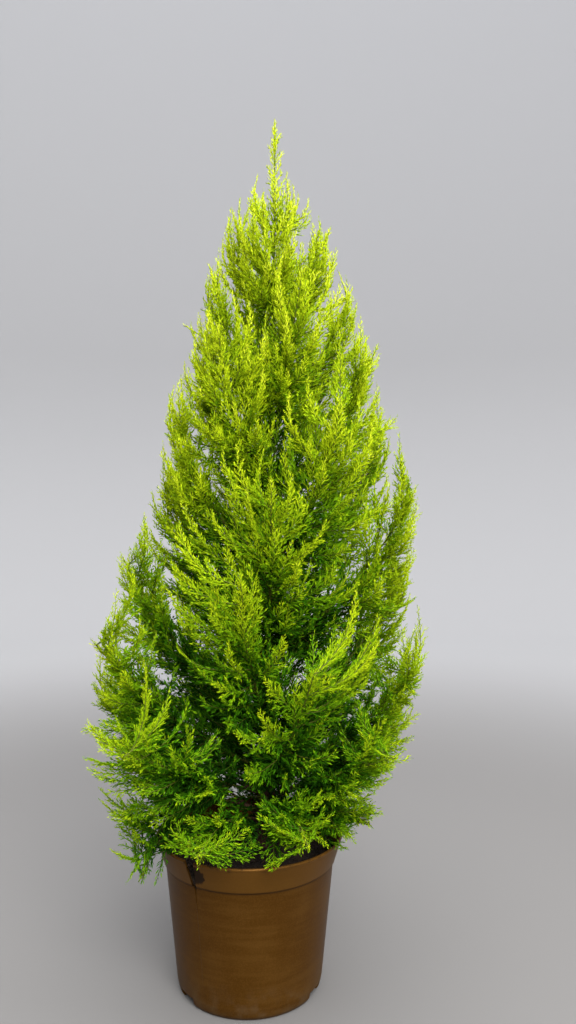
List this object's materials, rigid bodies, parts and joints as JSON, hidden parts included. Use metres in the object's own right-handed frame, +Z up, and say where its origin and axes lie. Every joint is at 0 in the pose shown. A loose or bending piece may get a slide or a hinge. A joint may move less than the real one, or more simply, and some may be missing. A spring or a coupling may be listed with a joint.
{
  "type": "potted lemon cypress",
  "caption": "Upright lemon cypress about a metre tall, with feathery yellow-green plumes from low down to a slender tip, in a plain flared bronze plastic nursery pot.",
  "frame": {"origin": "middle of the pot's flat underside, on the ground", "axes": "+Z up along the pot's axis, +X to the plant's right as the picture shows it, -Y towards the viewer"},
  "size_m": [0.3729, 0.3728, 0.975],
  "materials": {
    "pot": "satin",
    "soil": "matte",
    "trunk": "matte",
    "boughs": "matte",
    "foliage": "matte"
  },
  "bodies": {
    "root": {"bough_30": "boughs", "bough_31": "boughs", "bough_32": "boughs", "bough_33": "boughs", "bough_34": "boughs", "bough_35": "boughs", "bough_36": "boughs", "bough_37": "boughs", "bough_38": "boughs", "bough_39": "boughs", "bough_40": "boughs", "bough_41": "boughs", "bough_42": "boughs", "foliage_01": "foliage", "foliage_02": "foliage", "foliage_03": "foliage", "foliage_04": "foliage", "foliage_05": "foliage", "foliage_06": "foliage", "foliage_07": "foliage", "foliage_08": "foliage", "foliage_09": "foliage", "foliage_10": "foliage", "foliage_11": "foliage", "foliage_12": "foliage", "foliage_13": "foliage", "foliage_14": "foliage", "foliage_15": "foliage", "foliage_16": "foliage", "foliage_17": "foliage", "foliage_18": "foliage", "foliage_19": "foliage", "foliage_20": "foliage", "foliage_21": "foliage", "foliage_22": "foliage", "foliage_23": "foliage", "foliage_24": "foliage", "foliage_25": "foliage", "foliage_26": "foliage", "foliage_27": "foliage", "foliage_28": "foliage", "foliage_29": "foliage", "foliage_30": "foliage", "foliage_31": "foliage", "foliage_32": "foliage", "foliage_33": "foliage", "foliage_34": "foliage", "foliage_35": "foliage", "foliage_36": "foliage", "foliage_37": "foliage", "foliage_38": "foliage", "foliage_39": "foliage", "foliage_40": "foliage", "foliage_41": "foliage", "foliage_42": "foliage", "foliage_leader": "foliage", "pot": "pot", "soil": "soil", "trunk": "trunk"}
  },
  "joints": []
}
